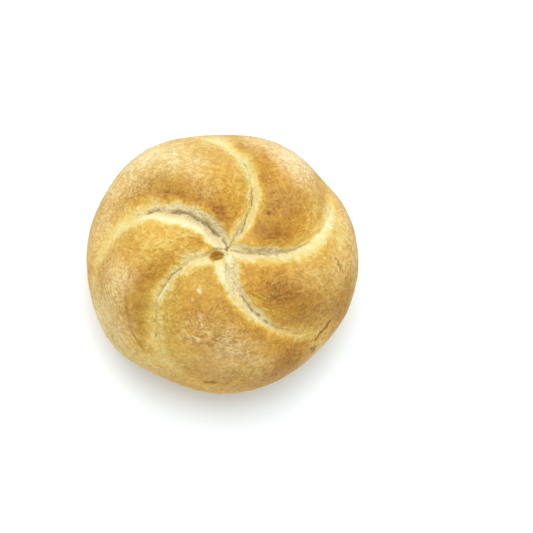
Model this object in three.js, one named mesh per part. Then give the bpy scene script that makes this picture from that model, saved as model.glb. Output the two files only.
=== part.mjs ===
// A kaiser roll: one round wheat roll whose crown is parted by five curved cuts into five puffed
// lobes that wind round a sunken star. Millimetres, +Z up; the origin is under the middle of the
// roll, on the surface that it lies on.
import * as THREE from "three";
import { ParametricGeometry } from "three/addons/geometries/ParametricGeometry.js";
import { mergeVertices } from "three/addons/utils/BufferGeometryUtils.js";

const { clamp, degToRad, lerp, smoothstep } = THREE.MathUtils;

// The body before it is cut, a dome on a rounded underside
const GIRTH_RADIUS = 52.4; // at the widest height
const GIRTH_HEIGHT = 23;
const CROWN_HEIGHT = 54.5; // of the dome that the lobes puff out of
const CROWN_FULLNESS = 2.35; // 2 is an ellipse, more is squarer in the shoulder
const FOOT_RADIUS = 35; // of the flat spot that it was baked on

// The outline seen from above is a little uneven: waves round it, as a share of the radius
const OUTLINE_WAVES = [
  { count: 2, share: 0.017, peak: 0 },
  { count: 3, share: 0.011, peak: 6 },
  { count: 5, share: 0.01, peak: 63 },
  { count: 6, share: 0.007, peak: 37 },
];

// The five cuts, anticlockwise from the one that leaves the star towards +X. A cut leaves at the
// bearing start and winds on by sweep degrees on its way down to the girth, later if bend is over 1.
// It bows out by bow degrees round the polar angle bowAt. It gapes to about gape millimetres on each
// side of its line, and is deep millimetres deep as far as the polar angle reach. puff is how far the
// lobe on its anticlockwise side stands out. soft and softOut say how much wider than SHOULDER the
// lobes round over beside it, by the star and further out.
const CUTS = [
  { start: -8, sweep: 63, bend: 1.6, bow: 2.0, bowAt: 52, gape: 2.2, deep: 1.5, reach: 28,
    puff: 4.2, soft: 1.25, softOut: 1.7 },
  { start: 51, sweep: 71, bend: 1.4, bow: 2.4, bowAt: 38, gape: 1.0, deep: 0.8, reach: 30,
    puff: 4.0, soft: 1.6, softOut: 1.4 },
  { start: 121, sweep: 97, bend: 1.3, bow: 4.2, bowAt: 25, gape: 2.4, deep: 1.8, reach: 30,
    puff: 4.2, soft: 1.35, softOut: 1.3 },
  { start: 196, sweep: 78, bend: 1.5, bow: 0, bowAt: 40, gape: 1.0, deep: 0.7, reach: 44,
    puff: 4.2, soft: 1.9, softOut: 1.3 },
  { start: 275, sweep: 69, bend: 1.3, bow: 1.5, bowAt: 28, gape: 2.0, deep: 1.4, reach: 30,
    puff: 4.2, soft: 1.3, softOut: 1.3 },
];
const BOW_SPREAD = 13; // polar degrees over which a bow dies away
const CUT_CLOSES = 26; // polar degrees past its reach in which a cut closes
const CUT_EDGE = [0.8, 1.6]; // how far its sloping side runs, in gapes, where shut and where open
const CUT_FLOOR = 0.3; // how wide its flat floor is on each side, in gapes
const STAR = new THREE.Vector2(-1, -2); // where the cuts meet, off the roll's own axis
const STAR_DEEP = 1.8; // the depth that all the cuts share there
const STAR_ENDS = 12; // polar angle past which each has its own

// How the lobes puff. A pair of polar angles is where a change starts and where it is done
const SHOULDER = [3, 7]; // how far from a cut its lobe takes to round over, by the star and outside
const SHOULDER_GROWS = [20, 75];
const SOFT_CHANGES = [25, 45]; // where soft gives way to softOut
const SOFT_FADES = [55, 85]; // where the shoulders are no wider than SHOULDER again
const PUFF_FADES = [8, 72];
const CROWNING = 2.6; // how much a lobe's middle stands over its shoulders
const CROWNING_PEAKS = 1.5; // over 1, the middle is narrower and the shoulders are level
const CROWNING_GROWS = [0, 40];
const CROWNING_FADES = [50, 90];

// Slow lumps all over, each a plane wave: its length, its height and the way it runs
const LUMPS = [
  { length: 46, height: 0.55, along: [0.8, 0.5, 0.3], phase: 0.4 },
  { length: 37, height: 0.5, along: [-0.5, 0.8, 0.4], phase: 2.1 },
  { length: 29, height: 0.35, along: [0.3, -0.7, 0.7], phase: 4.0 },
];
const LUMPS_START = 9; // height by which the lumps are at full size, so that the foot stays flat

// How finely the surface is divided
const SPANS_PER_LOBE = 22;
const RINGS = 52;
const CROWDING = 0.7; // how strongly the spans crowd towards the cuts, from 0 to 1
const FOOT_SHARE = 0.04; // the share of the rings that the flat foot takes
const RING_POWER = 1.2; // over 1, the rings lie closer round the star

const QUARTER = 90;
const LOBES = CUTS.length;

// The bearing of a cut at a polar angle, which is 0 at the star, 90 at the girth and 180 at the foot
function cutBearing(cut, polar) {
  const bow = cut.bow * Math.exp(-(((polar - cut.bowAt) / BOW_SPREAD) ** 2));
  return cut.start + cut.sweep * (Math.min(polar, QUARTER) / QUARTER) ** cut.bend + bow;
}

// How much shorter the way straight across a cut is than the way round the roll, there
function slantAcross(cut, polar) {
  const share = clamp(polar / QUARTER, 0.001, 1);
  const turn = (cut.sweep / QUARTER) * cut.bend * share ** (cut.bend - 1);
  return 1 / Math.hypot(1, Math.sin(degToRad(Math.min(polar, QUARTER))) * turn);
}

function outline(bearing) {
  return OUTLINE_WAVES.reduce(
    (sum, wave) => sum + wave.share * Math.cos(degToRad(wave.count * (bearing - wave.peak))),
    1,
  );
}

// The uncut body at a bearing and a polar angle
function bodyPoint(bearing, polar, target) {
  const angle = degToRad(polar);
  const wide = Math.sin(angle);
  const girth = GIRTH_RADIUS * outline(bearing);
  let radius = girth * wide;
  let height = GIRTH_HEIGHT;
  if (polar <= QUARTER) {
    height += (CROWN_HEIGHT - GIRTH_HEIGHT) * Math.sqrt(Math.max(0, 1 - wide ** CROWN_FULLNESS));
  } else {
    radius = lerp(FOOT_RADIUS, girth, wide);
    height += GIRTH_HEIGHT * Math.cos(angle);
  }
  const centring = 1 - smoothstep(polar, 0, QUARTER);
  return target.set(
    STAR.x * centring + radius * Math.cos(degToRad(bearing)),
    STAR.y * centring + radius * Math.sin(degToRad(bearing)),
    height,
  );
}

// How far the open part of a cut is sunk, away millimetres from its line
function cutDepth(cut, away, polar) {
  const open = 1 - smoothstep(polar, cut.reach, cut.reach + CUT_CLOSES);
  const deep = lerp(STAR_DEEP, cut.deep, smoothstep(polar, 0, STAR_ENDS)) * open;
  const floor = CUT_FLOOR * cut.gape * open;
  return deep * (1 - smoothstep(away, floor, cut.gape * lerp(...CUT_EDGE, open)));
}

// How much wider than SHOULDER the lobes beside a cut round over
function softness(cut, polar) {
  const own = lerp(cut.soft, cut.softOut, smoothstep(polar, ...SOFT_CHANGES));
  return lerp(own, 1, smoothstep(polar, ...SOFT_FADES));
}

// How far the surface stands out from the uncut body, at a share of the way across a lobe
function relief(cut, next, share, polar, width) {
  const before = share * width * slantAcross(cut, polar);
  const after = (1 - share) * width * slantAcross(next, polar);
  const rounding = lerp(...SHOULDER, smoothstep(polar, ...SHOULDER_GROWS));
  const roundedBefore = 1 - Math.exp(-before / rounding / softness(cut, polar));
  const roundedAfter = 1 - Math.exp(-after / rounding / softness(next, polar));
  const puffed = cut.puff * roundedBefore * roundedAfter * (1 - smoothstep(polar, ...PUFF_FADES));
  const middle = smoothstep(polar, ...CROWNING_GROWS) * (1 - smoothstep(polar, ...CROWNING_FADES));
  const crowned = CROWNING * middle * Math.sin(Math.PI * share) ** CROWNING_PEAKS;
  return puffed + crowned - Math.max(cutDepth(cut, before, polar), cutDepth(next, after, polar));
}

function lump(point) {
  const risen = smoothstep(point.z, 0, LUMPS_START);
  const wave = new THREE.Vector3();
  return LUMPS.reduce((sum, { length, height, along, phase }) => {
    const way = wave.fromArray(along).normalize().dot(point);
    return sum + risen * height * Math.sin((2 * Math.PI * way) / length + phase);
  }, 0);
}

// The polar angle of a ring and, inside the foot, the share of the foot's radius that it is at
function ringPlace(v) {
  if (v < FOOT_SHARE) return { polar: 180, within: v / FOOT_SHARE };
  return { polar: 180 * ((1 - v) / (1 - FOOT_SHARE)) ** RING_POWER, within: 1 };
}

// The baked surface: u runs once anticlockwise, v from the foot's middle over the girth to the star
function crust(u, v, target) {
  const turn = (u % 1) * LOBES;
  const index = Math.floor(turn);
  const even = turn - index;
  const share = even - (CROWDING * Math.sin(2 * Math.PI * even)) / (2 * Math.PI);
  const cut = CUTS[index];
  const next = CUTS[(index + 1) % LOBES];
  const { polar, within } = ringPlace(v);
  const from = cutBearing(cut, polar);
  const to = cutBearing(next, polar) + (index + 1 === LOBES ? 360 : 0);
  bodyPoint(lerp(from, to, share), polar, target);

  const width = degToRad(to - from) * Math.hypot(target.x - STAR.x, target.y - STAR.y);
  const outward = target.clone().setZ(target.z - GIRTH_HEIGHT).normalize();
  target.addScaledVector(outward, relief(cut, next, share, polar, width) + lump(target));
  if (polar === 180) target.set(target.x * within, target.y * within, 0);
}

// One closed surface from a parametric one: its seam and its poles welded, its empty faces dropped
function closed(geometry) {
  geometry.deleteAttribute("normal");
  geometry.deleteAttribute("uv");
  const welded = mergeVertices(geometry, 1e-3);
  const corners = welded.index.array;
  const kept = [];
  for (let i = 0; i < corners.length; i += 3) {
    const [a, b, c] = corners.subarray(i, i + 3);
    if (a !== b && b !== c && c !== a) kept.push(a, b, c);
  }
  return welded.setIndex(kept);
}

// Moves a geometry so that the middle of its box's lowest face is the origin
function stand(geometry) {
  geometry.computeBoundingBox();
  const { min, max } = geometry.boundingBox;
  return geometry.translate(-(min.x + max.x) / 2, -(min.y + max.y) / 2, -min.z);
}

function bakedCrust() {
  return new THREE.MeshStandardMaterial({ color: 0xcf9f55, roughness: 0.72, metalness: 0 });
}

function kaiserRoll() {
  const surface = new ParametricGeometry(crust, SPANS_PER_LOBE * LOBES, RINGS);
  const roll = new THREE.Mesh(stand(closed(surface)), bakedCrust());
  roll.geometry.computeVertexNormals();
  roll.name = "kaiser_roll";
  return roll;
}

const part = new THREE.Group();
part.add(kaiserRoll());

export default part;
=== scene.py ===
"""A kaiser roll on a white floor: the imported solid's form on a finer mesh, with the crust's fine
relief and its baked colours. The roll's sizes are in millimetres, and become metres where a mesh or a
shader takes them. The room's sizes are in metres."""

import bpy
import numpy as np
from mathutils import Matrix, Vector, noise


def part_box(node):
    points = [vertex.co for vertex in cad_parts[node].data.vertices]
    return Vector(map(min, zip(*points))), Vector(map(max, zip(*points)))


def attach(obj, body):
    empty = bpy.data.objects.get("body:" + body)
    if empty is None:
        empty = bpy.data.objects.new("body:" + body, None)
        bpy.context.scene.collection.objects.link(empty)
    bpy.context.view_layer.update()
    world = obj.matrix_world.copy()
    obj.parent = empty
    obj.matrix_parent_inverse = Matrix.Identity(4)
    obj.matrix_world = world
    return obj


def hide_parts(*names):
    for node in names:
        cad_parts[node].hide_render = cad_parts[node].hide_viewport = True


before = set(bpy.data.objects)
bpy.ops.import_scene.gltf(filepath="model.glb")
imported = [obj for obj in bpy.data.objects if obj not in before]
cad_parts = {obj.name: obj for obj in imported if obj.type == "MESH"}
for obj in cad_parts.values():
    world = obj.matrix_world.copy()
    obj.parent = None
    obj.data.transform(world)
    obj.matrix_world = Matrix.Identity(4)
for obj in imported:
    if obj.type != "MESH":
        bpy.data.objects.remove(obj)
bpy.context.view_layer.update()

MM = 0.001
NODE = "kaiser_roll"

# The form follows the solid's own sizes and formulas. A polar angle is 0 at the star, QUARTER at the
# girth and UNDER at the foot
QUARTER = 90
UNDER = 180
FULL_TURN = 360

# The body before it is cut, a dome on a rounded underside
GIRTH_RADIUS = 52.4  # at the widest height
GIRTH_HEIGHT = 23
CROWN_HEIGHT = 54.5  # of the dome that the lobes puff out of
CROWN_FULLNESS = 2.35  # 2 is an ellipse, more is squarer in the shoulder
FOOT_RADIUS = 35  # of the flat spot that it was baked on

# The outline seen from above is a little uneven: waves round it, as a share of the radius
OUTLINE_WAVES = [
    {"count": 2, "share": 0.017, "peak": 0},
    {"count": 3, "share": 0.011, "peak": 6},
    {"count": 5, "share": 0.010, "peak": 63},
    {"count": 6, "share": 0.007, "peak": 37},
]

# The five cuts, anticlockwise from the one that leaves the star towards +X. A cut leaves at the
# bearing start and winds on by sweep degrees on its way down to the girth, later if bend is over 1.
# It bows out by bow degrees round the polar angle bow_at. It gapes to about gape millimetres on each
# side of its line, and is deep millimetres deep as far as the polar angle reach. puff is how far the
# lobe on its anticlockwise side stands out. soft and soft_out say how much wider than SHOULDER the
# lobes round over beside it, by the star and further out.
CUTS = [
    {"start": -8, "sweep": 63, "bend": 1.6, "bow": 2.0, "bow_at": 52, "gape": 2.2, "deep": 1.5,
     "reach": 28, "puff": 4.2, "soft": 1.25, "soft_out": 1.7},
    {"start": 51, "sweep": 71, "bend": 1.4, "bow": 2.4, "bow_at": 38, "gape": 1.0, "deep": 0.8,
     "reach": 30, "puff": 4.0, "soft": 1.6, "soft_out": 1.4},
    {"start": 121, "sweep": 97, "bend": 1.3, "bow": 4.2, "bow_at": 25, "gape": 2.4, "deep": 1.8,
     "reach": 30, "puff": 4.2, "soft": 1.35, "soft_out": 1.3},
    {"start": 196, "sweep": 78, "bend": 1.5, "bow": 0, "bow_at": 40, "gape": 1.0, "deep": 0.7,
     "reach": 44, "puff": 4.2, "soft": 1.9, "soft_out": 1.3},
    {"start": 275, "sweep": 69, "bend": 1.3, "bow": 1.5, "bow_at": 28, "gape": 2.0, "deep": 1.4,
     "reach": 30, "puff": 4.2, "soft": 1.3, "soft_out": 1.3},
]
LOBES = len(CUTS)
BOW_SPREAD = 13  # polar degrees over which a bow dies away
CUT_CLOSES = 26  # polar degrees past its reach in which a cut closes
CUT_EDGE = (0.8, 1.6)  # how far its sloping side runs, in gapes, where shut and where open
CUT_FLOOR = 0.3  # how wide its flat floor is on each side, in gapes
STAR = (-1, -2)  # where the cuts meet, off the roll's own axis
STAR_DEEP = 1.8  # the depth that all the cuts share there
STAR_ENDS = 12  # polar angle past which each has its own

# How the lobes puff. A pair of polar angles is where a change starts and where it is done
SHOULDER = (3, 7)  # how far from a cut its lobe takes to round over, by the star and outside
SHOULDER_GROWS = (20, 75)
SOFT_CHANGES = (25, 45)  # where soft gives way to soft_out
SOFT_FADES = (55, 85)  # where the shoulders are no wider than SHOULDER again
PUFF_FADES = (8, 72)
CROWNING = 2.6  # how much a lobe's middle stands over its shoulders
CROWNING_PEAKS = 1.5  # over 1, the middle is narrower and the shoulders are level
CROWNING_GROWS = (0, 40)
CROWNING_FADES = (50, 90)

# Slow lumps all over, each a plane wave: its length, its height and the way it runs
LUMPS = [
    {"length": 46, "height": 0.55, "along": (0.8, 0.5, 0.3), "phase": 0.4},
    {"length": 37, "height": 0.50, "along": (-0.5, 0.8, 0.4), "phase": 2.1},
    {"length": 29, "height": 0.35, "along": (0.3, -0.7, 0.7), "phase": 4.0},
]
LUMPS_START = 9  # height by which the lumps are at full size, so that the foot stays flat

# How finely the surface is divided
SPANS_PER_LOBE = 92
CROWN_RINGS = 165
SIDE_RINGS = 40
FOOT_RINGS = 9
CROWDING = 0.5  # how strongly the spans crowd towards the cuts, from 0 to 1

# How a cut's line wanders sideways: how far, over what length, and the polar angle where it does fully
WANDER = {"by": 0.5, "long": 6, "octaves": 3, "starts": 10}

# How much weaker and how much finer each octave of a noise is than the one before it
NOISE_OCTAVES = (1.0, 2.0)


def smoothstep(value, low, high):
    share = np.clip((value - low) / (high - low), 0, 1)
    return share * share * (3 - 2 * share)


def lerp(low, high, share):
    return low + (high - low) * share


def field(points, size, octaves):
    """Noise of about -1 to 1 at each of a grid of points, with lumps about size millimetres across."""
    places = [Vector(place) / size for place in points.reshape(-1, 3).tolist()]
    flat = np.array([noise.fractal(place, *NOISE_OCTAVES, octaves) for place in places])
    return (flat / (2 * flat.std())).reshape(points.shape[:-1])


def cut_bearing(cut, polar):
    """The bearing of a cut at a polar angle."""
    bow = cut["bow"] * np.exp(-(((polar - cut["bow_at"]) / BOW_SPREAD) ** 2))
    return cut["start"] + cut["sweep"] * (np.minimum(polar, QUARTER) / QUARTER) ** cut["bend"] + bow


def slant_across(cut, polar):
    """How much shorter the way straight across a cut is than the way round the roll."""
    share = np.clip(polar / QUARTER, 0.001, 1)
    turn = cut["sweep"] / QUARTER * cut["bend"] * share ** (cut["bend"] - 1)
    return 1 / np.hypot(1, np.sin(np.radians(np.minimum(polar, QUARTER))) * turn)


def outline(bearing):
    waves = [w["share"] * np.cos(np.radians(w["count"] * (bearing - w["peak"]))) for w in OUTLINE_WAVES]
    return 1 + sum(waves)


def body_points(bearing, polar):
    """The uncut body's surface."""
    wide = np.sin(np.radians(polar))
    girth = GIRTH_RADIUS * outline(bearing)
    crown = polar <= QUARTER
    radius = np.where(crown, girth * wide, lerp(FOOT_RADIUS, girth, wide))
    dome = (CROWN_HEIGHT - GIRTH_HEIGHT) * np.sqrt(np.maximum(0, 1 - wide**CROWN_FULLNESS))
    rise = np.where(crown, dome, GIRTH_HEIGHT * np.cos(np.radians(polar)))
    centring = 1 - smoothstep(polar, 0, QUARTER)
    x = STAR[0] * centring + radius * np.cos(np.radians(bearing))
    y = STAR[1] * centring + radius * np.sin(np.radians(bearing))
    return np.stack([x, y, GIRTH_HEIGHT + rise], axis=-1)


def cut_depth(cut, away, polar):
    """How far the open part of a cut is sunk, away millimetres from its line."""
    opened = 1 - smoothstep(polar, cut["reach"], cut["reach"] + CUT_CLOSES)
    deep = lerp(STAR_DEEP, cut["deep"], smoothstep(polar, 0, STAR_ENDS)) * opened
    floor_edge = CUT_FLOOR * cut["gape"] * opened
    return deep * (1 - smoothstep(away, floor_edge, cut["gape"] * lerp(*CUT_EDGE, opened)))


def softness(cut, polar):
    """How much wider than SHOULDER the lobes beside a cut round over."""
    own = lerp(cut["soft"], cut["soft_out"], smoothstep(polar, *SOFT_CHANGES))
    return lerp(own, 1, smoothstep(polar, *SOFT_FADES))


def lobe_relief(cut, after_cut, share, before, after, polar):
    """How far a lobe stands out from the uncut body, at a share of the way across it."""
    rounding = lerp(*SHOULDER, smoothstep(polar, *SHOULDER_GROWS))
    rounded = 1 - np.exp(-before / rounding / softness(cut, polar))
    rounded *= 1 - np.exp(-after / rounding / softness(after_cut, polar))
    puffed = cut["puff"] * rounded * (1 - smoothstep(polar, *PUFF_FADES))
    middle = smoothstep(polar, *CROWNING_GROWS) * (1 - smoothstep(polar, *CROWNING_FADES))
    crowned = CROWNING * middle * np.sin(np.pi * share) ** CROWNING_PEAKS
    sunk = np.maximum(cut_depth(cut, before, polar), cut_depth(after_cut, after, polar))
    return puffed + crowned - sunk


def slow_lumps(points):
    risen = smoothstep(points[..., 2], 0, LUMPS_START)
    total = np.zeros(points.shape[:-1])
    for wave in LUMPS:
        along = np.array(wave["along"]) / np.linalg.norm(wave["along"])
        total += wave["height"] * np.sin(2 * np.pi * (points @ along) / wave["length"] + wave["phase"])
    return risen * total


def ring_places():
    """Each ring's polar angle, and the share of the foot's radius that it is at."""
    crown = np.linspace(0, QUARTER, CROWN_RINGS, endpoint=False)[1:]
    side = np.linspace(QUARTER, UNDER, SIDE_RINGS)
    foot = np.full(FOOT_RINGS, float(UNDER))
    within = np.linspace(1, 0, FOOT_RINGS + 2)[1:-1]
    polar = np.concatenate([crown, side, foot])
    return polar, np.concatenate([np.ones(len(crown) + len(side)), within])


def lobe_surface(index, polar, within, across):
    """One lobe's grid of points, and what its paint needs at each: the way outward, the polar angle,
    the lobe, and how far past the cut before it and how far short of the cut after it the point is."""
    cut = CUTS[index]
    after_cut = CUTS[(index + 1) % LOBES]
    polars, shares = np.meshgrid(polar, across, indexing="ij")
    start = cut_bearing(cut, polars)
    stop = cut_bearing(after_cut, polars) + (FULL_TURN if index + 1 == LOBES else 0)
    points = body_points(lerp(start, stop, shares), polars)

    width = np.radians(stop - start) * np.hypot(points[..., 0] - STAR[0], points[..., 1] - STAR[1])
    wander = WANDER["by"] * field(points, WANDER["long"], WANDER["octaves"])
    wander = wander * smoothstep(polars, 0, WANDER["starts"])
    past = shares * width * slant_across(cut, polars) + wander
    short = (1 - shares) * width * slant_across(after_cut, polars) - wander

    outward = points - (0, 0, GIRTH_HEIGHT)
    outward /= np.linalg.norm(outward, axis=-1, keepdims=True)
    standing = lobe_relief(cut, after_cut, shares, abs(past), abs(short), polars) + slow_lumps(points)
    points = points + outward * standing[..., None]
    points = np.where((polars == UNDER)[..., None], points * (1, 1, 0), points)
    points = points * np.stack([within, within, np.ones_like(within)], axis=-1)[:, None]
    return {"points": points, "outward": outward, "polar": polars, "past": past, "short": short,
            "lobe": np.full(polars.shape, index)}


def surface():
    """The roll's rings of points, and what the paint needs at each."""
    polar, within = ring_places()
    even = np.linspace(0, 1, SPANS_PER_LOBE, endpoint=False)
    across = even - CROWDING * np.sin(2 * np.pi * even) / (2 * np.pi)
    lobes = [lobe_surface(index, polar, within, across) for index in range(LOBES)]
    return {key: np.concatenate([lobe[key] for lobe in lobes], axis=1) for key in lobes[0]}


# How each cut looks, in the order of CUTS. A pair is for its clockwise and its anticlockwise side.
# Widths are in millimetres from the cut's line, at the polar angles STATIONS: crumb is bare crumb, and
# pale is where the cream skin ends. Over browns millimetres from there the crust turns gold, a share
# sharp of it at once. cream, band and rim are how baked the skin is by the star, where the cut has
# shut, and at the rim, and it shuts between the two polar angles shuts; rim is partly painted shade,
# where the cut's valley meets the rim. dim is how dark its crumb is, partly its own tone and partly
# painted shade, and shaded how much painted shade darkens it on the line. Each of slits has the polar
# angles where it starts and stops, and how far from the line it is there. slit_half is half its width,
# and slit_shade is how dark its painted shade is.
STATIONS = (8, 16, 24, 34, 50, 64)
LOOKS = [
    {"crumb": ((0.6, 0.7, 0.5, 0.1, 0, 0), (2.1, 1.8, 1.1, 0.3, 0, 0)),
     "pale": ((3.3, 2.2, 3.0, 2.4, 2.3, 1.9), (2.4, 2.2, 1.6, 0.9, 1.5, 1.4)),
     "browns": (3.6, 3.0), "sharp": (0.35, 0.35), "shuts": (22, 34),
     "cream": (0.14, 0.16), "band": (0.17, 0.26), "rim": 0.5,
     "dim": 0.3, "shaded": 0.15, "slit_half": 0.3, "slit_shade": 0.45,
     "slits": [(1, 7, 0, -0.4), (12, 18, -0.5, -0.7), (25, 29.5, 1.1, 0.2), (31, 38, 0.2, -0.2)]},
    {"crumb": ((0.5, 0.4, 0.3, 0, 0, 0), (1.4, 0.2, 0, 0, 0, 0)),
     "pale": ((1.4, 2.0, 2.2, 1.5, 1.1, 0.6), (3.2, 1.8, 1.8, 2.2, 1.9, 1.2)),
     "browns": (2.4, 3.0), "sharp": (0.3, 0.1), "shuts": (34, 46),
     "cream": (0.2, 0.24), "band": (0.28, 0.24), "rim": 0.34,
     "dim": 0.15, "shaded": 0.05, "slit_half": 0.2, "slit_shade": 0.7,
     "slits": [(9, 13, -0.4, -0.2), (13, 18.5, 0, 0.9), (22.5, 28, -0.2, 0), (26.5, 30.5, 1.1, 0),
               (41, 45, 0.4, -0.1)]},
    {"crumb": ((2.6, 2.7, 2.4, 1.4, 0, 0), (3.0, 3.6, 3.0, 1.2, 0, 0)),
     "pale": ((2.6, 2.8, 2.5, 2.4, 2.4, 2.2), (4.6, 5.6, 5.2, 4.9, 3.0, 1.3)),
     "browns": (2.6, 2.2), "sharp": (0.2, 0.45), "shuts": (34, 46),
     "cream": (0.17, 0.12), "band": (0.3, 0.25), "rim": 0.42,
     "dim": 0.08, "shaded": 0.35, "slit_half": 0.55, "slit_shade": 0.65,
     "slits": [(0, 9, -0.5, -0.4), (8, 15, 0.1, -0.2), (13, 19, 0.9, -0.6), (18, 28, -0.7, -0.3),
               (24, 29, 0.4, -0.1), (30, 36.5, 1.3, -0.1), (36, 40, 0.1, -0.4)]},
    {"crumb": ((0, 0.2, 0.3, 0.3, 0.2, 0), (0, 0.2, 0.3, 0.3, 0.2, 0)),
     "pale": ((0.6, 1.2, 1.5, 1.0, 1.0, 1.4), (3.2, 2.0, 1.4, 1.0, 1.4, 1.0)),
     "browns": (3.0, 2.6), "sharp": (0.15, 0.2), "shuts": (34, 46),
     "cream": (0.2, 0.22), "band": (0.34, 0.35), "rim": 0.44,
     "dim": 0.15, "shaded": 0.1, "slit_half": 0.17, "slit_shade": 0.65,
     "slits": [(21, 29, -0.3, -0.7), (30, 37, -0.5, -0.7), (39.5, 46, -0.4, 0), (46, 50, -0.4, -0.2),
               (51.5, 54, 0, -0.3)]},
    {"crumb": ((1.4, 1.2, 0.8, 0.5, 0.1, 0), (1.1, 1.7, 1.4, 0.8, 0.3, 0)),
     "pale": ((6.6, 4.1, 2.7, 1.5, 1.1, 1.0), (2.0, 1.5, 2.5, 1.7, 1.3, 0.8)),
     "browns": (2.2, 2.7), "sharp": (0.4, 0.5), "shuts": (34, 46),
     "cream": (0.16, 0.15), "band": (0.26, 0.32), "rim": 0.5,
     "dim": 0.04, "shaded": 0.2, "slit_half": 0.3, "slit_shade": 0.6,
     "slits": [(6, 9, -1.6, -2), (14, 15.5, 0.2, 0.1), (20, 24, -0.3, 0.1), (24, 29.5, 0.6, 0),
               (31, 33.5, 0.1, 0), (35.5, 39, 0.5, 0.1), (40, 45, 0.7, 0)]},
]

# How the bare crumb and the slits are drawn. Each ends softly: the first of its pair is how far it
# fades past its end, and the second how far within
TORN_STARTS = (3, 8)  # the polar angles between which bare crumb starts
TORN_ENDS = (0.4, 0.3)
TORN_UNEVEN = 0.3  # how ragged its edge is
TORN_WIDTHS = (0.2, 1)  # how wide it is where it starts to show, and where it shows in full
SHADE_HALF = 1.1  # half the width of the shade on a cut's line
SLIT_ENDS = (0.6, 0.8)  # in polar degrees
SLIT_UNEVEN = 0.5  # how much its width varies, as a share
SLIT_BRIDGED = (-1.0, -0.1)  # the grain's noise where a slit is bridged, and where it is open
SLIT_DEEP = 0.7

# The crust's own texture: how high it stands, and how long its lumps are. The blistering stands to
# the share bare of its height where there is no flour, and flour adds up to floury to that share
UNEVEN = {"high": 0.08, "long": 8, "octaves": 1}
GRAINY = {"high": 0.07, "long": 2.2, "octaves": 3}
BLISTERED = {"high": 0.13, "long": 2.0, "octaves": 2, "bare": 0.4, "floury": 0.8}
CRUMBLY = {"high": 0.1, "long": 1.4, "octaves": 2}
# Fine wrinkles along the rim: how high they stand, how far apart they are, how much they sway and over
# what length, how much they climb on their way round, and the polar angles between which they start
WRINKLED = {"high": 0.22, "apart": 2.1, "sway": 3.2, "long": 6, "octaves": 2, "climb": 0.35,
            "starts": (44, 58)}
NOISES = {"uneven": UNEVEN, "grain": GRAINY, "ridge": BLISTERED, "fine": CRUMBLY, "sway": WRINKLED}
TEXTURE_STARTS = (0, 5)  # the heights between which it starts, so that the foot stays flat

# What follows is placed in plan from the middle of the roll, and holds on its upper half
UPPER_HALF = (14, 22)  # the heights between which that starts


def patches(*rows):
    """Oval patches, each from its middle, its half length and half width, and the bearing of its
    length. by is how much it has of what its list is for, and steep is over 1 for a firmer edge."""
    return [dict(zip(("at", "size", "turn", "by", "steep"), row)) for row in rows]


# Seams along a path: cracks, a crease, soft hollows and, where deep is below 0, a raised web. A seam is
# half wide on each side, and dark is how much of the colour of cracks it has: in the cracks their own
# dark, and on the crease, the hollows, the star and the short seam at the front rim painted shade
SEAMS = [
    {"path": [(-37.2, -10.0), (-38.9, -16.1), (-38.2, -23.7), (-36.4, -30.7), (-31.3, -37.2)],
     "half": 0.5, "deep": 0.45, "dark": 0.32},
    {"path": [(40.4, -24.2), (39.4, -25.6), (39.3, -26.6), (38.2, -27.2), (37.4, -28.6), (36.9, -28.5),
              (36.0, -30.2), (34.9, -31.6)], "half": 0.32, "deep": 0.5, "dark": 1.0},
    {"path": [(33.3, -35.0), (34.2, -34.6), (34.6, -35.9), (35.5, -33.8)],
     "half": 0.32, "deep": 0.5, "dark": 0.8},
    {"path": [(40.4, -1.9), (41.9, -2.9), (41.8, -3.9), (42.8, -4.8), (42.7, -5.8), (44.1, -7.0)],
     "half": 0.3, "deep": 0.45, "dark": 0.9},
    {"path": [(-7.8, -48.2), (-4.0, -48.3)], "half": 0.28, "deep": 0.4, "dark": 0.9},
    {"path": [(-1.6, -1.0), (-0.3, 0.6)], "half": 0.35, "deep": 0.5, "dark": 0.35},
    {"path": [(-2.8, 6.8), (-4.6, 9.6)], "half": 2.2, "deep": 0.1, "dark": 0.28},
    {"path": [(-2.6, -0.8), (-5.2, -0.6), (-8.0, -1.8), (-10.0, -3.0)],
     "half": 1.5, "deep": -1.0, "dark": 0},
    {"path": [(3.0, -1.2), (6.5, -1.6)], "half": 1.4, "deep": 0.1, "dark": 0.12},
    {"path": [(4.3, -8.0), (5.4, -11.5)], "half": 1.4, "deep": 0.1, "dark": 0.12},
]

# Blisters and pits are ragged spots. A blister has a chalky painted highlight, by a factor times a
# power
# of its height. A pit has a raised ring: how high in the pit's depths, how far out and how wide in its
# radii, and painted shade within it
SPOT_RAGGED = 0.5
SPOT_STEEP = 1.5  # over 1, a spot is flatter in its middle and steeper at its edge
BLISTER_HIGHLIGHT = {"by": 7.5, "power": 3}
PIT_RING = {"high": 0.4, "at": 1.9, "half": 0.7}
BLISTERS = [
    {"at": (-12.2, -17.5), "radius": 0.8, "high": 0.45},
    {"at": (-9.7, -16.9), "radius": 0.5, "high": 0.25},
    {"at": (-14.6, -20.7), "radius": 0.6, "high": 0.35},
    {"at": (-4.5, -18.9), "radius": 0.6, "high": 0.3},
    {"at": (-4.0, -23.1), "radius": 0.5, "high": 0.25},
    {"at": (-8.9, -34.8), "radius": 0.6, "high": 0.3},
    {"at": (15.3, -14.2), "radius": 0.6, "high": 0.25},
    {"at": (14.7, -17.7), "radius": 0.65, "high": 0.3},
    {"at": (26.0, -16.5), "radius": 0.6, "high": 0.2},
    {"at": (44.6, -7.6), "radius": 0.6, "high": 0.25},
]
PITS = [
    {"at": (-24.2, 20.4), "radius": 0.5, "deep": 0.5},
    {"at": (13.9, 13.3), "radius": 0.7, "deep": 0.6},
    {"at": (15.8, 15.0), "radius": 0.35, "deep": 0.3},
    {"at": (26.4, 43.7), "radius": 0.5, "deep": 0.4},
    {"at": (-1.6, -1.0), "radius": 0.62, "deep": 1.3},
]
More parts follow.
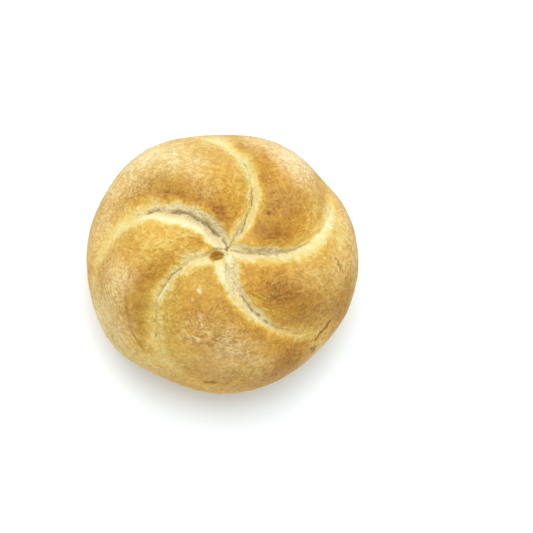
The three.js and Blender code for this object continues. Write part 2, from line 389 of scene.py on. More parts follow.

# Where the skin stands up in small curls, how high, and how strong their chalky painted highlight is,
# and where it is finely wrinkled
CURL_STARTS = (0.1, 0.9)  # the fine noise where a curl starts to stand up, and where it does fully
CURLY = [
    {"at": (-12.3, -31.8), "size": (4.4, 5.4), "turn": 10, "high": 0.24, "chalk": 0.8},
    {"at": (1, -37), "size": (5, 7), "turn": 0, "high": 0.16, "chalk": 0.35},
    {"at": (18, -15.5), "size": (5, 4), "turn": 0, "high": 0.2, "chalk": 0.12},
    {"at": (-44, -14), "size": (4, 10), "turn": 5, "high": 0.1, "chalk": 0.3},
]
WRINKLY = patches(
    ((44, 0), (8, 18), 0),
    ((-44, -22), (6, 18), 10),
)

# The small browned nub beside the star: side is where its side starts and ends in its own sizes, and
# level is how far it is baked
NUB = {"at": (-5.6, -3.7), "size": (2.95, 1.9), "turn": 24, "high": 0.9, "side": (0.7, 1.15),
       "level": 0.87}

# How the crust is coloured. Baking runs from 0 in a cut's cream skin over yellow, gold and amber to 1
GOLD = 0.54
SKIN_UNEVEN = 0.4  # how much the cream skin's edge wavers, in millimetres
SKIN_ENDS = (0.6, 0.8)  # how far short of pale the skin starts to brown, and how far past it is sharp
# Where a cut has shut: how it browns, and the polar angles where its band gives way to its rim's
# colour, and where even that ends
BAND = {"browns": 4.2, "sharp": 0.15, "fades": (52, 76), "ends": (84, 104)}
UNDERSIDE = {"browner": 0.12, "starts": (120, 170)}
# Patches that are more baked than that, or less; at the lower right rim they are partly painted shade
BROWNER = patches(
    ((16.5, 5.5), (11, 4.5), 5, 0.28),
    ((11.5, 10), (4, 6), -10, 0.08),
    ((21, 17), (8, 6), 20, 0.24),
    ((13.5, 26), (4, 9), 15, 0.1),
    ((32, 16), (4, 7), -15, -0.06),
    ((44, 9), (4, 9), 0, -0.26),
    ((-5, 12), (5, 7), 10, 0.26),
    ((-20, 16.5), (9, 5.5), 0, 0.3),
    ((-28, 25), (9, 4), 10, 0.12),
    ((0, 23), (6, 9), 10, -0.04),
    ((-12, 44), (11, 4), 10, -0.08),
    ((-2, 43.5), (6, 4), -15, -0.2),
    ((-38, 17), (9, 5), 50, 0.12),
    ((-24, 2), (12, 6), 15, -0.14),
    ((-28, -10.5), (8, 4), 20, 0.18),
    ((-34, -24), (6, 10), 0, 0.24),
    ((-46, -8), (4, 6), 0, 0.06),
    ((-50, 4), (4, 7), 0, -0.1),
    ((-30, 8), (7, 3.5), 25, -0.09),
    ((-12, 2), (5, 3), 10, 0.12),
    ((-3, -24), (6, 9), 10, 0.1),
    ((24, -39), (10, 5), 30, 0.25),
    ((-4, -36), (12, 8), 5, 0.1),
    ((13, -32), (8, 4), 0, 0.16),
    ((-14, -26), (7, 7), 0, 0.14),
    ((-34, -38), (5, 8), 40, -0.14),
    ((18, -16), (10, 7), -20, 0.27),
    ((29, -20), (8, 7), -30, 0.17),
    ((45, -20), (5, 9), -10, 0.16),
    ((0, -6), (3, 3), 0, -0.2),
    ((-42, 4), (5, 7), 0, 0.04),
    ((4.5, 42.5), (4, 4), 0, 0.22),
    ((26, 5), (6, 3), 40, -0.14),
    ((37, -32), (9, 6), 50, -0.17),
    ((-15, -4), (5, 2.5), 10, -0.2),
    ((11, 32), (4, 6), 20, 0.12),
    ((-25, 29), (5, 4), 10, 0.05),
    ((18, -48), (10, 3), 8, 0.12),
    ((-19, -37), (6, 9), 45, -0.1),
    ((-29, -31), (4, 5), 0, 0.1),
    ((-17, 25), (5, 4), 0, 0.1),
)

# Flour lies on the side, and in patches. It comes no nearer to the cuts than the first
# width and is full at the second, up to the polar angles where that ends
SIDE_FLOUR = {"by": 0.3, "starts": (80, 100)}
FLOUR_RAGGED = 0.12
CUTS_CLEAR = {"width": (2, 5), "ends": (50, 70)}
FLOURY = patches(
    ((24.6, 36.2), (10.5, 6.8), -42, 0.9, 2.5),
    ((26.5, 30.5), (8, 5), -50, 0.78),
    ((22, 20), (7, 6), 20, 0.1),
    ((-21, 33), (8, 5), 12, 0.8),
    ((-14, 29), (6, 4.5), -45, 0.55),
    ((-32, 36), (11, 5.5), 38, 0.88),
    ((-24, 36.5), (9, 4.5), 22, 1.0),
    ((-15.5, 33), (6, 4), 10, 0.7),
    ((-10, 21), (4, 3.5), 0, 0.25),
    ((-13, 30), (5, 4), 0, 0.45),
    ((-28.5, 18.5), (3.5, 3), 0, 0.2),
    ((-5.5, -28), (4, 6), 0, 0.12),
    ((-35, -6), (3.5, 3), 0, 0.25),
    ((-40, 13), (4, 5), 0, 0.4),
    ((-47, 12), (4, 13), -10, 0.5),
    ((-36, 29), (12, 6), 42, 0.6),
    ((-28, -27), (3.5, 8), 0, 0.2),
    ((-44, 25), (4, 7), 25, 0.75),
    ((37, -37), (5, 3), 50, 0.5),
    ((50, 0), (3, 9), 0, 0.7),
    ((-40, -11), (4, 6.5), 0, 0.75),
    ((-43, -15), (3.6, 12), 5, 0.55),
    ((-41, -32), (5, 9), 15, 0.75),
    ((-49, -18), (3.5, 12), 8, 0.45),
    ((-26, -43), (9, 5), -30, 0.35),
    ((-10, -33), (6, 6), 0, 0.2),
    ((1, -39), (11, 6), 5, 0.58),
    ((11, -42), (7, 4), 10, 0.4),
    ((14, 45), (9, 4), -10, 0.75),
    ((-4, 46.5), (6, 4.5), 0, 0.7),
    ((-1, -36), (5, 7), 0, 0.45),
    ((47, 14), (3.5, 12), 10, 0.65),
    ((42, -4), (5, 8), -10, 0.5),
    ((32, -10), (10, 7), 0, 0.25),
)

# Patches that are chalky, patches whose texture is rougher, patches of painted light where the crust
# lies in shade, and patches where the crust is greener than its baking makes it
CHALKY = patches(
    ((24, 39), (8, 4.5), -38, 0.35),
    ((-30, 38), (9, 4), 35, 0.2),
    # painted light: this chalky patch also lightens the lower left rim, which lies in shade
    ((-46, -24), (3.5, 7), 8, 0.35),
)
ROUGH = patches(
    ((0, -34), (14, 10), 0, 0.45),
    ((20, -17), (11, 8), 0, 1.2),
    ((8, -46), (16, 6), 0, 0.3),
    ((-43, -20), (5, 14), 5, 0.5),
    ((-28, 30), (14, 8), 25, 0.6),
    ((-6, 24), (8, 12), 10, 0.4),
    ((18, 15), (9, 8), 0, 0.5),
    ((25, 36), (10, 6), -40, 0.3),
)
# painted light: lighter crust on slopes in shade, beside the first cut and out at the right rim
PAINTED_LIGHT = patches(
    ((32, 11), (9, 4.5), 50, 1.0),
    ((41, 22), (4, 8), 20, 0.8),
)
GREENER = patches(
    ((-29, -26), (13, 17), 0, 1.0),
    ((-45, -20), (8, 14), 5, 0.7),
    ((-42, 10), (9, 16), -25, 0.45),
    ((-28, 32), (17, 12), 25, 0.9),
    ((-9, -11), (12, 9), 0, 0.5),
    ((10, 12), (6, 12), -20, 0.4),
    ((6, 34), (4, 10), 8, 1.0),
    ((0, -1), (7, 7), 0, 0.5),
    ((-27, -30), (5, 10), 0, 0.5),
    ((-4, -28), (5, 7), 0, 0.6),
    ((34, -10), (10, 6), 0, 0.5),
    ((38, 17), (4, 10), -10, 0.7),
)


def plan_gap(points, at):
    """How far each point is from a place, seen from above."""
    return np.hypot(points[..., 0] - at[0], points[..., 1] - at[1])


def path_gap(points, path):
    """How far each point is from a line of places, seen from above."""
    plan = points[..., :2]
    gap = np.full(plan.shape[:-1], np.inf)
    for start, stop in zip(np.array(path[:-1]), np.array(path[1:])):
        run = stop - start
        share = np.clip((plan - start) @ run / (run @ run), 0, 1)
        gap = np.minimum(gap, np.linalg.norm(plan - start - share[..., None] * run, axis=-1))
    return gap


def oval(points, patch):
    """Each point's distance from a patch's middle in the patch's own sizes: 1 is on its edge."""
    turn = np.radians(patch["turn"])
    x, y = points[..., 0] - patch["at"][0], points[..., 1] - patch["at"][1]
    along = (x * np.cos(turn) + y * np.sin(turn)) / patch["size"][0]
    across = (y * np.cos(turn) - x * np.sin(turn)) / patch["size"][1]
    return np.hypot(along, across)


def hump(gap):
    """A soft hump of height 1 that is gone by a gap of about 2."""
    return np.exp(-gap * gap)


def window(value, start, stop, past, within):
    """1 from start to stop. It fades over past beyond each of the two, and over within inside it."""
    opens = smoothstep(value, start - past, start + within)
    return opens * (1 - smoothstep(value, stop - within, stop + past))


def upper(points):
    """1 on the upper half, where places in plan hold, and 0 on the underside."""
    return smoothstep(points[..., 2], *UPPER_HALF)


def patchy(points, places):
    """How much each point is in one of some patches."""
    shares = [patch["by"] * hump(oval(points, patch)) for patch in places]
    return upper(points) * np.max(shares, axis=0)


def each_cut(skin):
    """For the cut before each point and the cut after it: the way from the cut's line, the side's
    place in a pair of LOOKS, and the cut's place in CUTS."""
    yield skin["past"], 1, skin["lobe"]
    yield -skin["short"], 0, (skin["lobe"] + 1) % LOBES


def look(key, place):
    """What LOOKS says by a key about each point's cut."""
    return np.array([each[key] for each in LOOKS])[place]


def width_there(key, side, place, polar):
    """A width of each point's cut, at the point's polar angle."""
    widths = np.stack([np.interp(polar, STATIONS, each[key][side]) for each in LOOKS])
    return np.take_along_axis(widths, place[None], axis=0)[0]


def slits(away, place, polar, rough):
    """How much each point is in a slit of its cut, whose dark is painted shade."""
    shares = np.zeros(polar.shape)
    for index, each in enumerate(LOOKS):
        half = each["slit_half"] * (1 + SLIT_UNEVEN * np.clip(rough["fine"], -1, 1))
        for start, stop, at_start, at_stop in each["slits"]:
            line = np.interp(polar, (start, stop), (at_start, at_stop))
            inside = hump((away - line) / half) * window(polar, start, stop, *SLIT_ENDS)
            shares = np.maximum(shares, each["slit_shade"] * inside * (place == index))
    return shares * smoothstep(rough["grain"], *SLIT_BRIDGED)


def torn_shares(skin):
    """How much each point is bare crumb, how dark that is with its painted shade, and how much the
    point is in a slit.
    """
    polar, rough = skin["polar"], skin["noise"]
    crumb, dim, slit = [], [], []
    for away, _, place in each_cut(skin):
        clockwise = width_there("crumb", 0, place, polar)
        anticlockwise = width_there("crumb", 1, place, polar)
        inside = window(away + TORN_UNEVEN * rough["fine"], -clockwise, anticlockwise, *TORN_ENDS)
        inside *= smoothstep(clockwise + anticlockwise, *TORN_WIDTHS) * smoothstep(polar, *TORN_STARTS)
        crumb.append(inside)
        # dim is partly painted shade, and shaded adds painted shade on the line
        dim.append(inside * (look("dim", place) + look("shaded", place) * hump(away / SHADE_HALF)))
        slit.append(slits(away, place, polar, rough))
    return np.maximum(*crumb), np.maximum(*dim), np.maximum(*slit)


def browning(skin):
    """How far the crust is baked at each point."""
    points, polar, rough = skin["points"], skin["polar"], skin["noise"]
    spread = SKIN_UNEVEN * (rough["fine"] + rough["grain"])
    level = GOLD
    for away, side, place in each_cut(skin):
        shuts = look("shuts", place)
        outer = smoothstep(polar, shuts[..., 0], shuts[..., 1])
        pale = width_there("pale", side, place, polar)
        browns = lerp(look("browns", place)[..., side], BAND["browns"], outer)
        sharp = lerp(look("sharp", place)[..., side], BAND["sharp"], outer)
        gap = abs(away) + spread
        edge = smoothstep(gap, pale - SKIN_ENDS[0], pale + SKIN_ENDS[1])
        rise = sharp * edge + (1 - sharp) * smoothstep(gap, pale - SKIN_ENDS[0], pale + browns)
        cream = lerp(look("cream", place)[..., side], look("band", place)[..., side], outer)
        cream = lerp(cream, look("rim", place), smoothstep(polar, *BAND["fades"]))
        level = np.minimum(level, lerp(cream, GOLD, rise))
    level = lerp(level, GOLD, smoothstep(polar, *BAND["ends"]))
    share = level / GOLD
    for patch in BROWNER:
        level = level + patch["by"] * upper(points) * share * hump(oval(points, patch))
    return level + UNDERSIDE["browner"] * smoothstep(polar, *UNDERSIDE["starts"])


def flouring(skin):
    """How much flour shows on the crust at each point."""
    points, polar, rough = skin["points"], skin["polar"], skin["noise"]
    flour = SIDE_FLOUR["by"] * smoothstep(polar, *SIDE_FLOUR["starts"])
    ragged = FLOUR_RAGGED * (rough["fine"] + rough["grain"])
    for patch in FLOURY:
        gap = np.maximum(oval(points, patch) + ragged, 0) ** patch.get("steep", 1)
        flour = np.maximum(flour, patch["by"] * upper(points) * hump(gap))
    clear = np.minimum(*(smoothstep(abs(away), *CUTS_CLEAR["width"]) for away, _, _ in each_cut(skin)))
    return flour * lerp(clear, 1, smoothstep(polar, *CUTS_CLEAR["ends"]))


def spot(skin, place):
    """A spot of height 1 with a ragged edge."""
    gap = plan_gap(skin["points"], place["at"]) / place["radius"]
    return hump((gap * (1 + SPOT_RAGGED * np.clip(skin["noise"]["fine"], -1, 1))) ** SPOT_STEEP)


def curls(skin, patch):
    """A patch's small curls, of height 1."""
    return hump(oval(skin["points"], patch)) * smoothstep(skin["noise"]["fine"], *CURL_STARTS)


def chalk_and_highlights(skin):
    """The painted highlights where small blisters and curls stand, and where the crust is chalky."""
    factor, power = BLISTER_HIGHLIGHT["by"], BLISTER_HIGHLIGHT["power"]
    marks = [factor * blister["high"] ** power * spot(skin, blister) for blister in BLISTERS]
    marks += [patch["chalk"] * curls(skin, patch) for patch in CURLY]
    return np.maximum(upper(skin["points"]) * np.max(marks, axis=0), patchy(skin["points"], CHALKY))


def wrinkling(skin):
    """The wrinkles that run along the rim, from -1 to 1."""
    points, polar = skin["points"], skin["polar"]
    climb = np.arctan2(points[..., 1], abs(points[..., 0])) * WRINKLED["climb"]
    way = (np.radians(polar) + climb) * GIRTH_RADIUS / WRINKLED["apart"] * 2 * np.pi
    shares = [hump(oval(points, patch)) for patch in WRINKLY]
    here = smoothstep(polar, *WRINKLED["starts"]) * upper(points) * np.max(shares, axis=0)
    return here * np.sin(way + WRINKLED["sway"] * skin["noise"]["sway"])


def cracks_and_shade(skin):
    """Where the skin has cracked, and the painted shade in its pits, crease and hollows."""
    points = skin["points"]
    marks = [seam["dark"] * hump(path_gap(points, seam["path"]) / seam["half"]) for seam in SEAMS]
    marks += [spot(skin, pit) for pit in PITS]
    return upper(points) * np.minimum(np.max(marks, axis=0), 1)


def nub_share(points):
    return 1 - smoothstep(oval(points, NUB), *NUB["side"])


def texture_relief(skin, crumb, slit, flour):
    """How far the crust's own texture stands out from the smooth form, in millimetres."""
    rough = skin["noise"]
    ridges = 0.5 - np.minimum(abs(rough["ridge"]), 1)
    relief = UNEVEN["high"] * rough["uneven"] + GRAINY["high"] * rough["grain"]
    blistered = BLISTERED["bare"] + BLISTERED["floury"] * flour
    relief += BLISTERED["high"] * ridges * blistered * (1 - crumb)
    relief += WRINKLED["high"] * wrinkling(skin)
    relief = relief * smoothstep(skin["points"][..., 2], *TEXTURE_STARTS)
    return relief + (CRUMBLY["high"] * crumb * rough["fine"] - SLIT_DEEP * slit)


def mark_relief(skin):
    """How far the single marks stand out from the smooth form, in millimetres."""
    points = skin["points"]
    marks = NUB["high"] * nub_share(points)
    for patch in CURLY:
        marks = marks + patch["high"] * curls(skin, patch)
    for seam in SEAMS:
        marks = marks - seam["deep"] * hump(path_gap(points, seam["path"]) / seam["half"])
    for blister in BLISTERS:
        marks = marks + blister["high"] * spot(skin, blister)
    for pit in PITS:
        ring = hump((plan_gap(points, pit["at"]) / pit["radius"] - PIT_RING["at"]) / PIT_RING["half"])
        marks = marks + PIT_RING["high"] * pit["deep"] * ring - pit["deep"] * spot(skin, pit)
    return upper(points) * marks


def ring_mesh(name, points):
    """A closed mesh from rings of points, with a point at each end."""
    rings, spans = points.shape[:2]
    ends = [points[0].mean(axis=0), points[-1].mean(axis=0)]
    vertices = np.concatenate([points.reshape(-1, 3), ends]) * MM
    place = np.arange(rings * spans).reshape(rings, spans)
    turned = np.roll(place, -1, axis=1)
    quads = np.stack([place[:-1], place[1:], turned[1:], turned[:-1]], axis=-1).reshape(-1, 4)
    star, foot = rings * spans, rings * spans + 1
    caps = [(star, a, b) for a, b in zip(place[0].tolist(), turned[0].tolist())]
    caps += [(foot, b, a) for a, b in zip(place[-1].tolist(), turned[-1].tolist())]
    mesh = bpy.data.meshes.new(name)
    mesh.from_pydata(vertices.tolist(), [], quads.tolist() + caps)
    mesh.shade_smooth()
    mesh.validate()
    return mesh


def paint_attribute(mesh, name, values):
    """A value at each point of the rings, with the mean of the first and last ring at the ends."""
    flat = np.concatenate([values.reshape(-1), [values[0].mean(), values[-1].mean()]])
    mesh.attributes.new(name, "FLOAT", "POINT").data.foreach_set("value", flat.astype(np.float32))


def to_frame(points):
    """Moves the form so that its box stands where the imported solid's does."""
    low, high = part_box(NODE)
    middle = (np.array(low) + np.array(high)) / 2 / MM
    flat = points.reshape(-1, 3)
    own = (flat.min(axis=0) + flat.max(axis=0)) / 2
    return points + (middle[0] - own[0], middle[1] - own[1], 0)


def kaiser_roll():
    skin = surface()
    points = to_frame(skin["points"])
    skin["points"] = points
    skin["noise"] = {}
    for name, layer in NOISES.items():
        skin["noise"][name] = field(points, layer["long"], layer["octaves"])
    crumb, dim, slit = torn_shares(skin)
    flour = flouring(skin)
    relief = texture_relief(skin, crumb, slit, flour) + mark_relief(skin)
    mesh = ring_mesh("crust", points + skin["outward"] * relief[..., None])
    nub = upper(points) * nub_share(points)
    paints = {
        "bake": lerp(browning(skin), NUB["level"], nub),
        "flour": flour * (1 - nub),
        # chalky crust, and painted highlights on blisters and curls
        "chalk": chalk_and_highlights(skin),
        "rough": patchy(points, ROUGH),
        # painted light where the crust lies in shade
        "light": patchy(points, PAINTED_LIGHT),
        "green": patchy(points, GREENER),
        "crumb": crumb * (1 - nub),
        # crumb darkened partly by painted shade
        "dim": dim,
        # painted shade in the slits
        "dark": slit,
        # cracks, and painted shade in pits, the crease and the hollows
        "crack": cracks_and_shade(skin),
        "wrinkle": wrinkling(skin),
    }
    for name, values in paints.items():
        paint_attribute(mesh, name, values)
    roll = bpy.data.objects.new("crust", mesh)
    bpy.context.scene.collection.objects.link(roll)
    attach(roll, "root")
    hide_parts(NODE)
    return roll


def colour(red, green, blue):
    """A colour as it is seen on screen, from 0 to 255, as the linear colour that shaders take."""
    seen = np.array([red, green, blue]) / 255
    linear = np.where(seen <= 0.04045, seen / 12.92, ((seen + 0.055) / 1.055) ** 2.4)
    return (*linear.tolist(), 1.0)


# The crust's colour at levels of baking, and the colours of what shows in it or lies on it
BAKED = [
    (0.00, colour(246, 235, 204)),
    (0.10, colour(228, 214, 168)),
    (0.20, colour(221, 202, 132)),
    (0.36, colour(215, 180, 90)),
    (GOLD, colour(199, 151, 56)),
    (0.76, colour(173, 122, 37)),
    (1.00, colour(138, 88, 16)),
]
CRUMB_LIGHT = colour(229, 213, 166)
# the crumb's darkest colour, partly its own tone and partly painted shade
CRUMB_DARK = colour(148, 127, 74)
# painted shade in the slits
SLIT_SHADE = colour(108, 82, 42)
# the dark of cracks, also painted shade in pits, the crease, the hollows and wrinkle furrows
CRACK_AND_SHADE = colour(124, 74, 20)
FLOUR = colour(236, 218, 167)
# chalky crust, and the colour of the painted highlights on blisters and curls
CHALK_AND_HIGHLIGHT = colour(246, 228, 184)
# What the crust's colour is multiplied by for painted light, and where it is greener
PAINTED_LIGHT_TINT = (1.12, 1.09, 1.04, 1)
GREENED = (0.93, 1.09, 1.5, 1)

# The noises of the material: size is that of a noise's lumps in millimetres, and weight its share of
# the fine texture's height. Values at the two ends of a span, here and below, turn into those of gives
BROAD = {"size": 11, "detail": 2, "distortion": 0.4, "span": (0.3, 0.7), "gives": (-0.03, 0.03)}
MOTTLE = {"size": 2.6, "detail": 1, "distortion": 0.3, "span": (0.3, 0.7), "gives": (-0.055, 0.065)}
FLECKS = {"size": 1.9, "detail": 2, "distortion": 0.3, "span": (0.58, 0.72), "gives": (0, 0.25)}
STRENGTH = {"size": 14, "detail": 1, "distortion": 0, "span": (0.35, 0.65), "gives": (0.5, 1.2)}
SPECKLE = {"size": 0.95, "detail": 1, "distortion": 0, "weight": 0.37}
STROKES = {"size": 1.7, "detail": 2, "distortion": 0.2, "weight": 0.45, "stretch": (0.6, 1, 1)}
# The swirls that the strokes follow move them by up to half of by millimetres
SWIRLS = {"size": 10, "detail": 1, "distortion": 0, "by": 13}

# How strong the fine texture is, by how floury and green the crust is, and by how rough
COVERED_CALMS = {"span": (0, 1), "gives": (1.1, 0.75)}
ROUGH_LIVENS = {"span": (0, 1), "gives": (1, 1.8)}
# How much lighter the texture's crests are painted than its hollows, a painted highlight on the crests
# and painted shade in the hollows, between two limits
CRESTS_LIGHT_AND_SHADE = {"span": (0.285, 0.585), "gives": (0.14, -0.14), "limits": (-0.11, 0.16)}
# painted shade in the troughs of wrinkles, and painted light on their crests
WRINKLES_LIGHT_AND_SHADE = -0.08
# How much of that unevenness, and of the bump, there is on the cream skin, and on the baked crust
CREAM_COLOURS = {"span": (0.1, 0.4), "gives": (0.5, 1)}
CREAM_BUMPS = {"span": (0.1, 0.4), "gives": (0.6, 1)}
FLOUR_CLINGS = {"span": (0.34, 0.56), "gives": (0.3, 1)}  # by how high the texture stands
# painted shade in the furrows of wrinkles
FURROWS_SHADE = {"span": (-0.2, -1), "gives": (0, 0.32)}  # by how low a wrinkle is
CRUMB_DARKENS = {"span": (0.3, 0.7), "gives": (0.32, -0.2)}  # by the speckle
CRUST_ROUGHNESS = 0.5
CRUST_SPECULAR = 0.25
BUMP_HIGH = 0.9  # millimetres


def add_node(tree, kind, sockets=None, **settings):
    """Adds a shader node with its settings, and sets or links its input sockets."""
    node = tree.nodes.new(kind)
    for name, value in settings.items():
        setattr(node, name, value)
    for name, value in (sockets or {}).items():
        if isinstance(value, bpy.types.NodeSocket):
            tree.links.new(value, node.inputs[name])
        else:
            node.inputs[name].default_value = value
    return node


def attribute(tree, name):
    return add_node(tree, "ShaderNodeAttribute", attribute_name=name).outputs["Fac"]


def math_node(tree, operation, *values):
    """Joins two values or more by one operation, from the first to the last."""
    joined = values[0]
    for value in values[1:]:
        joined = add_node(tree, "ShaderNodeMath", {0: joined, 1: value}, operation=operation).outputs[0]
    return joined


def vector_node(tree, operation, first, second):
    return add_node(tree, "ShaderNodeVectorMath", {0: first, 1: second}, operation=operation).outputs[0]


def scaled(tree, value, change):
    """Turns the values over a span into those that it gives."""
    names = ("Value", "From Min", "From Max", "To Min", "To Max")
    sockets = dict(zip(names, (value, *change["span"], *change["gives"])))
    return add_node(tree, "ShaderNodeMapRange", sockets).outputs[0]


def mixed(tree, share, first, second, blend="MIX"):
    """Mixes two colours, by the sockets' places, because colours and numbers share their names."""
    sockets = {0: share, 6: first, 7: second}
    return add_node(tree, "ShaderNodeMix", sockets, data_type="RGBA", blend_type=blend).outputs[2]


def on_roll(tree):
    return add_node(tree, "ShaderNodeTexCoord").outputs["Object"]


def noise_node(tree, layer, place):
    sockets = {"Vector": place, "Scale": 1 / (layer["size"] * MM), "Detail": layer["detail"],
               "Distortion": layer["distortion"]}
    return add_node(tree, "ShaderNodeTexNoise", sockets)


def texture_noise(tree, layer, place=None):
    """A layer's noise, from 0 to 1, on the roll or at places that are given."""
    return noise_node(tree, layer, place or on_roll(tree)).outputs["Fac"]


def swirled_places(tree):
    """Places on the roll, moved about in swirls and stretched, for the strokes."""
    place = on_roll(tree)
    swirl = noise_node(tree, SWIRLS, place).outputs["Color"]
    centred = vector_node(tree, "SUBTRACT", swirl, (0.5, 0.5, 0.5))
    moved = vector_node(tree, "MULTIPLY", centred, [SWIRLS["by"] * MM] * 3)
    swirled = vector_node(tree, "ADD", place, moved)
    sockets = {"Vector": swirled, "Scale": STROKES["stretch"]}
    return add_node(tree, "ShaderNodeMapping", sockets).outputs[0]


def crest_height(tree, speckle):
    """How high the fine texture stands: short strokes in swirls, speckle and a few flecks."""
    strokes = texture_noise(tree, STROKES, swirled_places(tree))
    flecks = scaled(tree, texture_noise(tree, FLECKS), FLECKS)
    return math_node(tree, "ADD", math_node(tree, "MULTIPLY", strokes, STROKES["weight"]),
                     math_node(tree, "MULTIPLY", speckle, SPECKLE["weight"]), flecks)


def texture_strength(tree):
    """How strongly the fine texture shows."""
    covered = math_node(tree, "ADD", attribute(tree, "green"), attribute(tree, "flour"))
    return math_node(tree, "MULTIPLY", scaled(tree, covered, COVERED_CALMS),
                     scaled(tree, texture_noise(tree, STRENGTH), STRENGTH),
                     scaled(tree, attribute(tree, "rough"), ROUGH_LIVENS))


def baked_and_shaded_level(tree, broad, crests, strength):
    """How far the crust is baked, with the unevenness of its texture, a painted highlight on its crests
    and painted shade in its hollows and in the troughs of wrinkles.
    """
    bake = attribute(tree, "bake")
    mottle = scaled(tree, texture_noise(tree, MOTTLE), MOTTLE)
    least, most = CRESTS_LIGHT_AND_SHADE["limits"]
    # painted highlight on the crests and painted shade in the hollows
    crested = math_node(tree, "MULTIPLY", scaled(tree, crests, CRESTS_LIGHT_AND_SHADE), strength)
    crested = math_node(tree, "MINIMUM", math_node(tree, "MAXIMUM", crested, least), most)
    # painted shade in the troughs of wrinkles, and painted light on their crests
    wrinkled = math_node(tree, "MULTIPLY", attribute(tree, "wrinkle"), WRINKLES_LIGHT_AND_SHADE)
    uneven = math_node(tree, "ADD", broad, mottle, crested, wrinkled)
    uneven = math_node(tree, "MULTIPLY", uneven, scaled(tree, bake, CREAM_COLOURS))
    return math_node(tree, "ADD", bake, uneven)


def baked_colour(tree, level):
    """The colour of crust that is baked to a level."""
    ramp = add_node(tree, "ShaderNodeValToRGB", {"Fac": level})
    stops = ramp.color_ramp.elements
    while len(stops) < len(BAKED):
        stops.new(0.5)
    for stop, (place, shade) in zip(stops, BAKED):
        stop.position = place
        stop.color = shade
    return ramp.outputs["Color"]


def skin_colour(tree, level, clings):
    """The baked skin's colour, tinted greener and given painted light in places, with the flour that
    clings to it, painted shade in the furrows of wrinkles, and chalky crust and painted highlights on
    it.
    """
    shade = mixed(tree, attribute(tree, "green"), baked_colour(tree, level), GREENED, "MULTIPLY")
    # painted light on slopes that lie in shade
    shade = mixed(tree, attribute(tree, "light"), shade, PAINTED_LIGHT_TINT, "MULTIPLY")
    shade = mixed(tree, math_node(tree, "MULTIPLY", attribute(tree, "flour"), clings), shade, FLOUR)
    # painted shade in the furrows of wrinkles
    shade = mixed(tree, scaled(tree, attribute(tree, "wrinkle"), FURROWS_SHADE), shade, CRACK_AND_SHADE)
    # chalky crust, and painted highlights on blisters and curls
    return mixed(tree, attribute(tree, "chalk"), shade, CHALK_AND_HIGHLIGHT)


def torn_colour(tree, shade, speckle):
    """The skin's colour with bare crumb in it, partly darkened by painted shade, the painted shade of
    slits, and cracks with painted shade in pits, the crease and the hollows.
    """
    dim = math_node(tree, "ADD", attribute(tree, "dim"), scaled(tree, speckle, CRUMB_DARKENS))
    # crumb darkened partly by painted shade
    crumb = mixed(tree, dim, CRUMB_LIGHT, CRUMB_DARK)
    shade = mixed(tree, attribute(tree, "crumb"), shade, crumb)
    # painted shade in the slits
    shade = mixed(tree, attribute(tree, "dark"), shade, SLIT_SHADE)
    # cracks, and painted shade in pits, the crease and the hollows
    return mixed(tree, attribute(tree, "crack"), shade, CRACK_AND_SHADE)


def crust_material():
    material = bpy.data.materials.new("baked_crust")
    material.use_nodes = True
    tree = material.node_tree
    shader = tree.nodes["Principled BSDF"]

    broad = scaled(tree, texture_noise(tree, BROAD), BROAD)
    speckle = texture_noise(tree, SPECKLE)
    crests = crest_height(tree, speckle)
    strength = texture_strength(tree)
    level = baked_and_shaded_level(tree, broad, crests, strength)
    clings = scaled(tree, math_node(tree, "ADD", crests, broad), FLOUR_CLINGS)
    shade = torn_colour(tree, skin_colour(tree, level, clings), speckle)
    tree.links.new(shade, shader.inputs["Base Color"])
    shader.inputs["Roughness"].default_value = CRUST_ROUGHNESS
    shader.inputs["Specular IOR Level"].default_value = CRUST_SPECULAR

    cream_bumps = scaled(tree, attribute(tree, "bake"), CREAM_BUMPS)
    height = math_node(tree, "MULTIPLY", cream_bumps, strength, crests)
    bump = add_node(tree, "ShaderNodeBump", {"Height": height, "Distance": BUMP_HIGH * MM})
    tree.links.new(bump.outputs["Normal"], shader.inputs["Normal"])
    return material


# The room: a white floor, one large soft light from behind on the left, and a bright plain surround
FLOOR = {"wide": 6.0, "colour": (0.93, 0.985, 1.0, 1), "roughness": 0.9}
KEY = {"at": (-0.13, 0.38, 1.0), "aims_at": (0, 0, 0.03), "wide": 0.9, "watts": 8.65}
SURROUND = {"colour": (0.955, 0.975, 1, 1), "strength": 0.82}
PICTURE_UP = Vector((0, 1, 0))


def floor():
    half = FLOOR["wide"] / 2
    corners = [(-half, -half, 0), (half, -half, 0), (half, half, 0), (-half, half, 0)]
    mesh = bpy.data.meshes.new("floor")
    mesh.from_pydata(corners, [], [(0, 1, 2, 3)])
    material = bpy.data.materials.new("white_floor")
    material.use_nodes = True
    shader = material.node_tree.nodes["Principled BSDF"]
    shader.inputs["Base Color"].default_value = FLOOR["colour"]
    shader.inputs["Roughness"].default_value = FLOOR["roughness"]
    mesh.materials.append(material)
    sheet = bpy.data.objects.new("floor", mesh)
    bpy.context.scene.collection.objects.link(sheet)


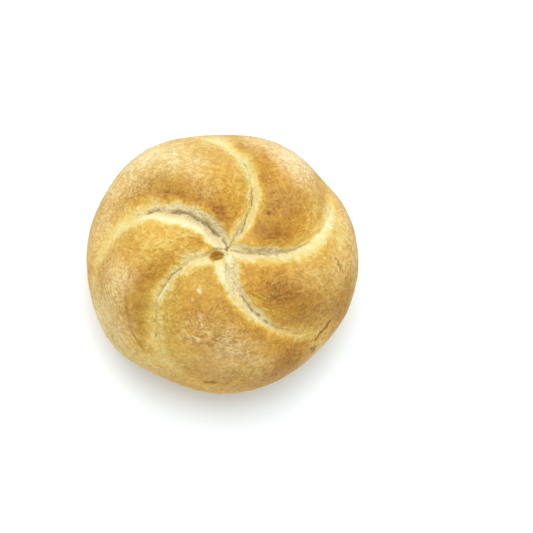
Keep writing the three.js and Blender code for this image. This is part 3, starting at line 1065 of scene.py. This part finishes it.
def facing(place, target):
    """The turn and place of something at place that looks at target."""
    forward = (target - place).normalized()
    right = forward.cross(PICTURE_UP).normalized()
    turn = Matrix((right, right.cross(forward), -forward)).transposed()
    return Matrix.Translation(place) @ turn.to_4x4()


def area_light(name, light):
    data = bpy.data.lights.new(name, "AREA")
    data.shape = "SQUARE"
    data.size = light["wide"]
    data.energy = light["watts"]
    lamp = bpy.data.objects.new(name, data)
    bpy.context.scene.collection.objects.link(lamp)
    lamp.matrix_world = facing(Vector(light["at"]), Vector(light["aims_at"]))


def surround():
    world = bpy.data.worlds.new("surround")
    world.use_nodes = True
    background = world.node_tree.nodes["Background"]
    background.inputs["Color"].default_value = SURROUND["colour"]
    background.inputs["Strength"].default_value = SURROUND["strength"]
    bpy.context.scene.world = world


# The camera looks nearly straight down, leaning over the roll from its front and its left by so many
# degrees. The photo has the roll left of its middle, so the camera looks at a place to the roll's right
PICTURE_PIXELS = 533
ROLL_PIXEL = (223, 263)
GIRTH_PIXELS = 265.5
LENS = 85  # millimetres, as are the next two
SENSOR = 36
LOOKED_AT_HEIGHT = 24
LEAN_LEFT = 6.0
LEAN_FRONT = 11.5


def camera():
    data = bpy.data.cameras.new("camera")
    data.lens = LENS
    data.sensor_width = SENSOR
    pixel = 2 * GIRTH_RADIUS * MM / GIRTH_PIXELS
    away = LENS / SENSOR * PICTURE_PIXELS * pixel
    lean = Vector((-np.tan(np.radians(LEAN_LEFT)), -np.tan(np.radians(LEAN_FRONT)), 1)).normalized()
    middle = Vector((0, 0, LOOKED_AT_HEIGHT * MM))
    place = middle + lean * away
    right = (-lean).cross(PICTURE_UP).normalized()
    above = right.cross(-lean)
    aside = PICTURE_PIXELS / 2 - ROLL_PIXEL[0]
    below = PICTURE_PIXELS / 2 - ROLL_PIXEL[1]
    target = middle + right * aside * pixel - above * below * pixel
    viewer = bpy.data.objects.new("camera", data)
    bpy.context.scene.collection.objects.link(viewer)
    viewer.matrix_world = facing(place, target)
    bpy.context.scene.camera = viewer


roll = kaiser_roll()
roll.data.materials.append(crust_material())
floor()
area_light("key", KEY)
surround()
camera()
bpy.context.scene.view_settings.view_transform = "Standard"
